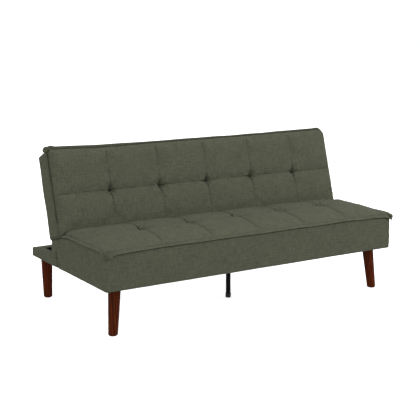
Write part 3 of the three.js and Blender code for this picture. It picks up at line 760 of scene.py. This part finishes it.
def seat_foam():
    """The foam block inside the seat: rounded along its top edges, hollowed where the slats lie."""
    half, front = HALF - FOAM_INSET, 8 * MM
    gather = 0.04 * np.linspace(0, 1, 9) ** 1.5
    x = np.concatenate([-half + gather[:-1], np.linspace(-half + 0.04, half - 0.04, 121),
                        half - gather[::-1][1:]])
    y = np.concatenate([front + gather[:-1], np.linspace(0.048, 0.44, 30),
                        np.linspace(0.446, 0.47, 6), np.linspace(0.485, TAIL_END - 9 * MM, 9)])
    y, x = np.meshgrid(y, x, indexing="ij")
    side = np.minimum(half - np.abs(x), y - front)
    drop = 9 * MM * (1 - np.clip(side / 0.03, 0, 1)) ** 2
    top = seam_height(x, y) - 10 * MM - drop + 1.0 * MM * unevenness(x, y, 0.05, 71)
    floor = np.minimum(np.where(y < BOX_DEPTH - 4 * MM, 0.3305, 0.2775), top - 4 * MM)
    flat = np.stack([x, y], -1)
    # black cloth lines the foam where the hinge slots lay it bare; the black along its rear edge is painted
    # shade, for the gap under the tail
    slot_x, slot_y = np.abs(x[:-1, :-1] + x[1:, 1:]) / 2, y[1:, 1:]
    beside = 13 * MM
    lining_and_shade = (slot_x > HINGE_SLOT[0] - beside) & (slot_x < HINGE_SLOT[1] + beside) & (slot_y > BOX_DEPTH - 0.03)
    lining_and_shade = (lining_and_shade | (slot_y > TAIL_END - 0.02)).astype(int)
    block = Cloth()
    block.grid(np.stack([x, FRONT + y, top], -1), flat, flip=True, slot=lining_and_shade)
    block.grid(np.stack([x, FRONT + y, np.where(rim_of(x), top, floor)], -1), flat, slot=lining_and_shade)
    foam = block.build("seat_foam_block", "root", "seat_foam", FOAM, LINING)
    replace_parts(foam, "seat_foam")


def seat_rear_lining():
    """The black cloth behind the seat box, carried out under the tail and up its end in olive."""
    half = HALF - 6.3 * MM
    ease = 5 * MM
    foot, ledge, lip = UNDERSIDE + 2 * MM, TAIL_FLOOR + 0.5 * MM, 0.3398
    front, end = BOX_DEPTH - 0.5 * MM, TAIL_END - 1.2 * MM
    turn = np.radians(np.linspace(0, 90, 5))
    profile = [(front, z) for z in np.linspace(foot, ledge - ease, 6)[:-1]]
    profile += [(front + ease - ease * math.cos(a), ledge - ease + ease * math.sin(a)) for a in turn]
    profile += [(y, ledge) for y in np.linspace(front + ease, end - ease, 8)[1:-1]]
    profile += [(end - ease + ease * math.sin(a), ledge + ease - ease * math.cos(a)) for a in turn]
    profile += [(end, z) for z in np.linspace(ledge + ease, lip, 7)[1:]]
    profile = np.array(profile)
    inner, outer = HINGE_SLOT
    x = np.concatenate([np.linspace(-half, -outer, 5), np.linspace(-inner, inner, 141),
                        np.linspace(outer, half, 5)])
    y, z = [np.repeat(profile[:, k, None], len(x), axis=1) for k in (0, 1)]
    loose = 1.2 * MM * unevenness(x, y + z, 0.2, 81)
    sag = np.where(z < ledge + ease, loose, 0.3 * loose)
    points = np.stack([np.broadcast_to(x, y.shape), FRONT + y, z - np.abs(sag) * (y > BOX_DEPTH + ease)], -1)
    along = arc_length(profile)
    middle_x = np.abs(x[:-1] + x[1:]) / 2
    middle_y, middle_z = (profile[:-1] + profile[1:]).T / 2
    slotted = ((middle_x > inner) & (middle_x < outer))[None, :] & (middle_y > BOX_DEPTH)[:, None]
    lined = ((middle_y < end - ease) | (middle_z < ledge + ease))[:, None]
    cloth = Cloth()
    cloth.grid(points, laid_flat(x, along), keep=~slotted, slot=np.where(lined, 0, 1))
    lining = cloth.build("seat_rear_lining", "root", "lining_cloth", LINING, OLIVE)
    thicken(lining)
    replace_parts(lining, "seat_rear_cover")


def dust_cloth():
    """The thin black cloth stapled under the seat box."""
    low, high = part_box("dust_cover")
    x, y = np.meshgrid(np.linspace(low.x, high.x, 161), np.linspace(low.y, high.y, 53), indexing="ij")
    edge = np.minimum.reduce([x - low.x, high.x - x, y - low.y, high.y - y])
    ripple = 1.0 * MM * unevenness(x, y, 0.13, 83)
    beside_leg = 1 - bump(np.hypot(x - CENTRE_X, y - CENTRE_Y), 0.08)
    z = UNDERSIDE + 1.5 * MM + np.abs(ripple) * smooth(edge / 0.05) * beside_leg
    cloth = Cloth()
    cloth.grid(np.stack([x, y, z], -1), np.stack([x, y], -1))
    sheet = cloth.build("dust_cloth", "root", "lining_cloth", LINING)
    thicken(sheet, -1.0 * MM)
    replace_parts(sheet, "dust_cover")


# ---- rear rails ----


def rail_outline(outward, corner):
    """Plan of the U-shaped rear frame, outward from its middle line, with its normals."""
    half = HALF - RAIL_WIDE / 2 + outward
    rear = RAIL_HIGH.y - RAIL_WIDE / 2 + outward
    side = np.linspace(SIDE_RAIL_LOW.y, rear - corner, 40)
    crossing = np.linspace(-half + corner, half - corner, 201)
    return horseshoe(half, rear, (side, side), crossing, (corner, corner), 1, 8)


def rear_rail_sleeve():
    """Cloth wrapped round the U-shaped rear frame: olive outside and on top, black inside and below."""
    tall = RAIL_HIGH.z - RAIL_LOW.z
    radius = 4 * MM
    side = RAIL_WIDE / 2 - radius
    section = []
    for cx, cz, first in ((-side, radius, 180), (side, radius, 270), (side, tall - radius, 0),
                          (-side, tall - radius, 90)):
        section += [(cx + radius * math.cos(a), cz + radius * math.sin(a))
                    for a in np.radians(np.linspace(first, first + 90, 6))]
    points = []
    for out, up in section:
        plan, normal = rail_outline(out, 4 * MM)
        along = arc_length(plan)
        swell = 0.8 * MM + 0.5 * MM * unevenness(along, up * 4 + 0 * along, 0.15, 31)
        rounding = 3.5 * MM * (1 - smooth(np.minimum(along, along[-1] - along) / (9 * MM))) ** 2
        swell = swell - rounding if out > 0 else rounding - 0.5 * swell
        points.append(np.column_stack([plan + normal * swell[:, None], np.full(len(plan), RAIL_LOW.z + up)]))
    points = np.stack(points)
    flat = laid_flat(along, arc_length(np.array(section)))
    # black from the inner side, under the rail, to the outer lower edge
    row = np.arange(len(section))
    lined = (row < 8) | (row >= len(section) - 2)
    cloth = Cloth()
    cloth.grid(points, flat, closed=True, slot=lined[:, None].astype(int))
    cloth.close_ends(points, flat, slot=1)
    sleeve = cloth.build("rear_rail_sleeve", "root", "upholstery_fabric", OLIVE, LINING)
    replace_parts(sleeve, "rear_rail_cover_left", "rear_rail_cover_right", "rear_rail_cover_back")


# ---- backrest ----


def back_edge_inset(x, u, half):
    """Distance in from the backrest's outline, whose top corners are rounded."""
    side, top = half - np.abs(x), BACK_HEIGHT - u
    radius = np.where(x < 0, *BACK_CORNER)
    over_x, over_u = np.clip(radius - side, 0, None), np.clip(radius - top, 0, None)
    in_corner = (over_x > 0) & (over_u > 0)
    inside = np.where(in_corner, radius - np.hypot(over_x, over_u), np.minimum(side, top))
    return np.minimum(inside, u)


def rounded(x, u, half, high, corner):
    """Moves a rectangle's points so that its two top corners are drawn in to a radius each."""
    corner = np.where(x < 0, *corner)
    over_x = np.clip((np.abs(x) - (half - corner)) / corner, 0, 1)
    over_u = np.clip((u - (high - corner)) / corner, 0, 1)
    pull_x = np.sqrt(1 - over_u ** 2 / 2)
    pull_u = np.sqrt(1 - over_x ** 2 / 2)
    new_x = np.where(over_x > 0, np.sign(x) * (half - corner + corner * over_x * pull_x), x)
    new_u = np.where(over_u > 0, high - corner + corner * over_u * pull_u, u)
    return new_x, new_u


def back_face(x, u, half):
    """How far the backrest's front stands behind (+) or before (-) its nominal face."""
    inset = back_edge_inset(x, u, half)
    edge = np.clip(inset / 0.026, 0, 1)
    face = -0.006 + (BACK_SEAM - 0.012) * (1 - edge) ** 2.6
    inner = smooth(inset / 0.03)
    rows = np.abs(u - BACK_TUFT_U)
    half_panel = np.where(u > BACK_TUFT_U, BACK_HEIGHT - BACK_TUFT_U, BACK_TUFT_U)
    puff_u = np.sin(np.pi * np.clip(rows / half_panel, 0, 1))
    face -= inner * 0.006 * (0.4 + 0.6 * panel_wave(x - BACK_SHIFT, BACK_PITCH)) * (0.35 + 0.65 * puff_u)
    face += inner * 0.0044 * bump(rows, 0.0036)
    face += inner * 0.0028 * bump(nearest(x, BACK_TUFTS), 0.0034)
    face += tuft_pull(x, u, BACK_TUFTS, BACK_TUFT_U, *BACK_DIMPLE, 7, core=0.48)
    face += inner * 0.0016 * unevenness(x, u, 0.15, 9)
    return face


def backrest_cushion():
    """The quilted front pad. Its sides bulge a little past the seam behind them."""
    half = HALF + BACK_SPREAD
    low, high = 2 * MM, BACK_HEIGHT - 3 * MM
    across = spread(-half, half, BACK_TUFTS, 340)
    up = spread(low, high, [BACK_TUFT_U], 104)
    gather = np.linspace(0, 1, 6) ** 1.4
    up = np.concatenate([low + (up[3] - low) * gather[:-1], up[3:-4], high - (high - up[-4]) * gather[::-1]])
    u, x = np.meshgrid(up, across, indexing="ij")
    x, u = rounded(x, u, half, high, BACK_CORNER)
    v = back_face(x, u, half)
    seam_x = x * (HALF - SEAM_INSET) / half
    front = back_to_world(np.stack([x, v, u], -1))
    aside, away = nearest(x, BACK_TUFTS), np.abs(u - BACK_TUFT_U)
    held = bump(np.hypot(aside, away), 0.014) + 0.5 * bump(np.minimum(aside, away), SEAM_HOLD)
    held += bump(back_edge_inset(x, u, half), RIM_HOLD) + 1 - smooth((u - 0.02) / 0.04)
    rim = rim_of(x)
    held[rim] = 1
    front = settled(front, held)
    # from the rim the cloth turns back round the edge to the seam
    order = [(0, slice(None)), (slice(None), -1), (-1, slice(None, None, -1)), (slice(None, None, -1), 0)]
    edge_x, edge_u, edge_v, edge_seam = [np.concatenate([grid[key][:-1] for key in order])
                                         for grid in (x, u, v, seam_x)]
    shares = np.linspace(0, 1, 5)
    ring = []
    for t in shares:
        bulge = math.sin(math.pi * t) * 3.0 * MM
        out = np.sign(edge_x) * bulge * (np.abs(edge_x) > half - 1 * MM)
        rise = bulge * (edge_u > high - 1 * MM) - bulge * (edge_u < low + 1 * MM) * 0.4
        ring.append(np.stack([edge_x + (edge_seam - edge_x) * t ** 3 + out, edge_v + (BACK_SEAM - edge_v) * t,
                              edge_u + rise], -1))
    ring = np.stack(ring)
    ring_flat = np.stack([ring[0][:, 0] + 0 * ring[..., 0], ring[0][:, 2] + 0.03 * shares[:, None]], -1)
    ring, ring_flat = [np.concatenate([a, a[:, :1]], axis=1) for a in (ring, ring_flat)]
    flat = np.stack([x, u], -1)
    cloth = Cloth()
    cloth.grid(front, flat, flip=True)
    cloth.grid(back_to_world(ring), ring_flat, flip=True)
    cloth.grid(back_to_world(np.stack([seam_x, np.where(rim, BACK_SEAM, BACK_SEAM - 1 * MM), u], -1)), flat)
    cushion = cloth.build("backrest_cushion", "backrest", "upholstery_fabric", OLIVE)
    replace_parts(cushion, "back_pad")


# the cuts that the hinge arms pass through, across and back from the face
SLOT_X = (0.790, 0.776)
SLOT_V = (0.095, 0.145)
BOTTOM_CORNER = 6 * MM


def bottom_run(inset):
    """The underside of the outline from right to left, with points on the edges of the hinge slots."""
    start = HALF - inset - BOTTOM_CORNER
    side = np.append(np.linspace(start, SLOT_X[0], 5)[:-1], SLOT_X[0])
    x = np.concatenate([side, np.linspace(SLOT_X[1], -SLOT_X[1], 121), -side[::-1]])
    turn = np.linspace(0, np.pi / 2, 6)[1:-1]
    ends = []
    for sign, angles in ((1, turn), (-1, turn[::-1])):
        around = np.stack([sign * np.cos(angles), -np.sin(angles)], -1)
        ends.append((around * BOTTOM_CORNER + [sign * start, inset + BOTTOM_CORNER], around))
    path = np.vstack([ends[0][0], np.stack([x, np.full_like(x, inset)], -1), ends[1][0]])
    normal = np.vstack([ends[0][1], np.tile([0.0, -1.0], (len(x), 1)), ends[1][1]])
    return path, normal


def back_outline(inset, tighten=0.0, high=BACK_HEIGHT):
    """The backrest's outline (x, u) from the left foot, over the top, to the right foot, with its normals."""
    half, high = HALF - inset, high - inset
    radii = [max(corner - tighten, TIGHTEST) - inset for corner in BACK_CORNER]
    sides = [np.linspace(inset + BOTTOM_CORNER, high - radius, 80) for radius in radii]
    crossing = np.linspace(-half + radii[0], half - radii[1], 241)
    return horseshoe(half, high, sides, crossing, radii, 1, 16)


def backrest_flange():
    """The sewn edge round the backrest's sides and top, with ears at its corners and a fold on the left."""
    path, normal = back_outline(0.5 * MM)
    along = arc_length(path)
    total = along[-1]
    turn = BACK_HEIGHT - 8 * MM
    ears = 0.009 * bump(along - turn, 0.020) + 0.004 * bump(total - turn - along, 0.03)
    reach = through(FIN_REACH, path[:, 0]) * (1 + 0.05 * unevenness(along, 0 * along, 0.25, 41)) + ears
    reach *= 0.25 + 0.75 * smooth(np.minimum(along, total - along) / 0.08)
    lean = 0.0012 * unevenness(along, 0 * along, 0.3, 43) - 0.008
    seam_v = BACK_SEAM + 0.5 * MM
    root, tip = path - normal * SEAM_INSET, path + normal * reach[:, None]
    root = back_to_world(np.column_stack([root[:, 0], np.full(len(path), seam_v), root[:, 1]]))
    tip = back_to_world(np.column_stack([tip[:, 0], seam_v + lean, tip[:, 1]]))
    fin("backrest_flange", "backrest", root, tip, along, bow=0.03)
    route = np.array([(-0.840, 0.026, 0.4440), (-0.856, 0.024, 0.4400),
                      (-0.864, 0.025, 0.4280), (-0.853, 0.026, 0.4150)])
    facing = back_to_world(np.array([[0.0, -1.0, 0.0]]))[0] - back_to_world(np.zeros((1, 3)))[0]
    widths = np.array([9, 14, 15, 9]) * MM
    fold("backrest_flange_fold", "backrest", back_to_world(route), widths, 9 * MM, facing)


TOP_SLOPE = 14 * MM


def border_path(v):
    """The whole way round at depth v: the top comes down, and its corners tighten, towards the rear."""
    back = np.clip((v - BACK_SEAM) / (BACK_THICK - BACK_SEAM), 0, 1)
    upper = back_outline(0.0, 20 * MM * back, BACK_HEIGHT - TOP_SLOPE * back ** 1.3)
    return [np.vstack([over, under, over[:1]]) for over, under in zip(upper, bottom_run(0.0))]


def backrest_border():
    """The boxed edge from the seam to the back, turned over the rear edge."""
    radius = 6 * MM
    depth = BACK_THICK - 0.5 * MM
    ahead = np.linspace(BACK_SEAM - 2 * MM, SLOT_V[0], 14)
    rows = [(v, 0.0) for v in [*ahead, *np.linspace(*SLOT_V, 8)[1:], depth - radius]]
    rows += [(depth - radius + radius * math.sin(a), radius * (1 - math.cos(a)))
             for a in np.radians((15, 30, 45, 60, 75, 90))]
    rows += [(depth, radius + 12 * MM * t) for t in (0.5, 1.0)]
    rows = np.array(rows)
    section_along = arc_length(rows)
    points = []
    for v, inset in rows:
        path, normal = border_path(v)
        along = arc_length(path)
        span = np.clip((v - BACK_SEAM) / (depth - BACK_SEAM), 0, 1)
        full = float(smooth(span / 0.3))
        sides = np.abs(normal[:, 0]) ** 2
        below = np.clip(-normal[:, 1], 0, 1)
        swell = ((1.0 + 4.0 * sides) * MM + 0.9 * MM * unevenness(along, v + 0 * along, 0.2, 51)) * full
        hang = 1.2 * MM + 4 * MM * bump(v - BACK_SEAM - 6 * MM, 0.02) + 5 * MM * smooth((v - 0.122) / 0.018)
        swell += (hang - 0.3 * swell) * below
        tuck = 2.0 * MM * bump(v - BACK_SEAM, 0.006)
        place = path + normal * (swell - tuck - inset)[:, None]
        points.append(back_to_world(np.column_stack([place[:, 0], np.full(len(path), v), place[:, 1]])))
    points = np.stack(points)
    path = border_path(0)[0]
    middle_x, middle_u = np.abs(path[:-1, 0] + path[1:, 0]) / 2, (path[:-1, 1] + path[1:, 1]) / 2
    in_slot = (middle_x < SLOT_X[0]) & (middle_x > SLOT_X[1]) & (middle_u < BOTTOM_CORNER)
    middle_v = (rows[:-1, 0] + rows[1:, 0]) / 2
    in_depth = (middle_v > SLOT_V[0]) & (middle_v < SLOT_V[1])
    cloth = Cloth()
    in_cut = in_depth[:, None] & in_slot[None, :]
    cloth.grid(points, laid_flat(along, section_along), flip=True, keep=~in_cut)
    border = cloth.build("backrest_border", "backrest", "upholstery_fabric", OLIVE)
    thicken(border)
    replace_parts(border, "back_border")


def backrest_panel(half, low, high, counts, corner):
    """A grid of points across and up the backrest, and each one's distance from the panel's edge."""
    u, x = np.meshgrid(np.linspace(low, high, counts[1]), np.linspace(-half, half, counts[0]), indexing="ij")
    x, u = rounded(x, u, half, high, corner)
    return x, u, np.minimum.reduce([half - np.abs(x), u - low, high - u])


def backrest_foam():
    """The foam slab behind the quilted pad, with eased edges."""
    x, u, edge = backrest_panel(HALF - FOAM_INSET, 8 * MM, BACK_HEIGHT - 8 * MM, (121, 33),
                                (TIGHTEST, BACK_CORNER[1] - 7 * MM))
    ease = 4 * MM * (1 - np.clip(edge / 0.02, 0, 1)) ** 2
    v = BACK_SEAM + 1.6 * MM + ease + 0.6 * MM * unevenness(x, u, 0.05, 73)
    rear = np.where(rim_of(x), v, FOAM_REAR - 0.3 * MM)
    flat = np.stack([x, u], -1)
    block = Cloth()
    block.grid(back_to_world(np.stack([x, v, u], -1)), flat, flip=True)
    block.grid(back_to_world(np.stack([x, rear, u], -1)), flat)
    foam = block.build("backrest_foam_slab", "backrest", "seat_foam", FOAM)
    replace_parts(foam, "back_foam")


def backrest_rear():
    """The cloth over the back of the backrest, stapled inside the border."""
    half = HALF - 12 * MM
    low, high = 10 * MM, BACK_HEIGHT - TOP_SLOPE - 12 * MM
    x, u, edge = backrest_panel(half, low, high, (169, 45), (TIGHTEST, TIGHTEST))
    v = BACK_THICK - 1.0 * MM + 1.2 * MM * smooth(edge / 0.012) - 2.5 * MM * smooth(edge / 0.15)
    v += 0.5 * MM * unevenness(x, u, 0.25, 61) * smooth(edge / 0.05)
    cloth = Cloth()
    cloth.grid(back_to_world(np.stack([x, v, u], -1)), np.stack([x, u], -1))
    rear = cloth.build("backrest_rear_cloth", "backrest", "upholstery_fabric", OLIVE)
    thicken(rear)
    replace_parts(rear, "back_rear_cover")


# ---- legs ----


def turned(node, name, slot, look, profile, sides=56):
    """A turned solid on the axis of a CAD node. profile is (radius, height share from foot to top)."""
    corners = np.array([v.co[:] for v in frame["nodes"][node].data.vertices])
    low, high = corners[:, 2].min(), corners[:, 2].max()
    foot = corners[corners[:, 2] < low + 3 * MM].mean(axis=0)
    head = corners[corners[:, 2] > high - 3 * MM].mean(axis=0)
    foot[2], head[2] = low, high
    angles = np.linspace(0, 2 * np.pi, sides, endpoint=False)
    around = np.column_stack([np.cos(angles), np.sin(angles), np.zeros(sides)])
    points = np.stack([foot + (head - foot) * t + radius * around for radius, t in profile])
    points = np.concatenate([points, points[:, :1]], axis=1)
    flat = points[..., ::2]
    body = Cloth()
    body.grid(points, flat, flip=True)
    body.fan(points[0, :-1], flat[0, :-1])
    body.fan(points[-1, :-1], flat[-1, :-1], flip=True)
    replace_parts(body.build(name, "root", slot, look), node)


def legs():
    """The wooden legs with their glides, and the steel centre leg with its cap. Radii are in mm."""
    wooden = [(20.8, 0.0), (22.0, 0.003), (22.5, 0.008), (22.6, 0.016)]
    wooden += [(22.6 + 7.4 * t, t) for t in np.linspace(0.05, 0.985, 22)] + [(29.6, 0.995), (28.6, 1.0)]
    pad = [(16.5, 0.0), (18.0, 0.12), (18.5, 0.35), (18.5, 0.9), (17.8, 1.0)]
    post = [(11.7, 0.0), (12.5, 0.004), (12.5, 0.5), (12.5, 0.996), (11.7, 1.0)]
    cap = [(9.5, 0.0), (11.6, 0.02), (13.2, 0.07), (14.1, 0.16), (14.3, 0.26)]
    cap += [(14.3, t) for t in (0.5, 0.8, 0.93)] + [(13.9, 0.98), (13.1, 1.0)]
    solids = []
    for corner in ("front_left", "front_right", "rear_left", "rear_right"):
        solids.append((f"leg_{corner}", f"wood_leg_{corner}", "stained_wood", STAINED, wooden))
        solids.append((f"glide_{corner}", f"foot_glide_{corner}", "glide_nylon", NYLON, pad))
    solids.append(("centre_leg_tube", "centre_leg_post", "black_steel", BLACK_STEEL, post))
    solids.append(("centre_leg_foot", "centre_leg_cap", "foot_rubber", RUBBER, cap))
    for node, name, slot, look, profile in solids:
        turned(node, name, slot, look, [(radius * MM, t) for radius, t in profile])


# ---- studio ----


def studio():
    """A white floor under an even pale sky, with a broad soft key lamp, one above and one at the left."""
    scene = bpy.context.scene
    bpy.ops.mesh.primitive_plane_add(size=80, location=(0, 0, 0))
    floor = bpy.context.object
    floor.name = "studio_floor"
    floor.data.materials.append(Nodes("studio_white").finish({
        "Base Color": (0.92, 0.92, 0.92, 1), "Roughness": 0.95, "Specular IOR Level": 0.0,
        "Emission Color": (1, 1, 1, 1), "Emission Strength": 0.75}))
    floor.visible_diffuse = False
    floor.visible_glossy = False
    world = bpy.data.worlds.new("studio")
    scene.world = world
    world.use_nodes = True
    tree = world.node_tree
    direction = tree.nodes.new("ShaderNodeTexCoord").outputs["Generated"]
    height = tree.nodes.new("ShaderNodeSeparateXYZ")
    sky = tree.nodes.new("ShaderNodeMapRange")
    for name, value in (("From Min", -0.25), ("From Max", -0.05), ("To Min", 0.50), ("To Max", 1.02)):
        sky.inputs[name].default_value = value
    tree.links.new(direction, height.inputs[0])
    tree.links.new(height.outputs["Z"], sky.inputs["Value"])
    tree.links.new(sky.outputs[0], tree.nodes["Background"].inputs["Color"])
    for name, place, aim, size, power in (
        ("key", (2.4, -3.5, 1.9), (0, 0, 0.4), 2.2, 66),
        ("top", (0, 0.0, 4.0), (0, 0, 0.4), 3.0, 15),
        ("side", (-3.4, -1.8, 0.9), (-0.8, 0, 0.25), 1.6, 14),
    ):
        lamp = bpy.data.lights.new(name, "AREA")
        lamp.energy = power
        lamp.size = size
        holder = bpy.data.objects.new(name, lamp)
        holder.location = place
        holder.rotation_euler = (Vector(aim) - Vector(place)).to_track_quat("-Z", "Y").to_euler()
        scene.collection.objects.link(holder)
    scene.view_settings.view_transform = "Standard"


def camera():
    """The photograph's view: a long lens from the front left, a little above."""
    data = bpy.data.cameras.new("camera")
    data.lens = 83.0
    data.sensor_width = 36
    view = bpy.data.objects.new("camera", data)
    view.location = (-2.670, FRONT - 3.777, 1.388)
    view.rotation_euler = (math.radians(90 - 10.688), 0, math.radians(-32.173))
    view.rotation_euler.rotate_axis("Z", -0.003)
    bpy.context.scene.collection.objects.link(view)
    bpy.context.scene.camera = view


# ---- assembly ----


# how much the edges of the CAD pieces that stay are eased, by material slot
EASED = {"frame_timber": 1.5 * MM, "hardboard": 0.6 * MM, "zinc_steel": 0.4 * MM, "black_steel": 0.6 * MM}


CREASE_ANGLE = math.radians(35)


def dress_cad():
    """Materials for the CAD pieces that stay as they are."""
    looks = {"stained_wood": STAINED, "frame_timber": TIMBER, "hardboard": BOARD, "zinc_steel": ZINC,
             "black_steel": BLACK_STEEL, "foot_rubber": RUBBER, "glide_nylon": NYLON, "seat_foam": FOAM,
             "lining_cloth": LINING, "upholstery_fabric": OLIVE}
    for part in frame["record"]["subparts"]:
        node = frame["nodes"][part["node"]]
        node.data.materials.clear()
        node.data.materials.append(looks[part["material_slot"]])
        node.data.shade_smooth()
        node.data.set_sharp_from_angle(angle=CREASE_ANGLE)
        if part["material_slot"] in EASED:
            edge = node.modifiers.new("edge", "BEVEL")
            edge.width = EASED[part["material_slot"]]
            edge.segments = 2
            edge.limit_method = "ANGLE"
            edge.angle_limit = CREASE_ANGLE


camera()
studio()
dress_cad()
seat_cushion()
seat_flange()
seat_corner_folds()
seat_box_cover()
seat_foam()
seat_rear_lining()
dust_cloth()
rear_rail_sleeve()
backrest_cushion()
backrest_flange()
backrest_border()
backrest_foam()
backrest_rear()
legs()
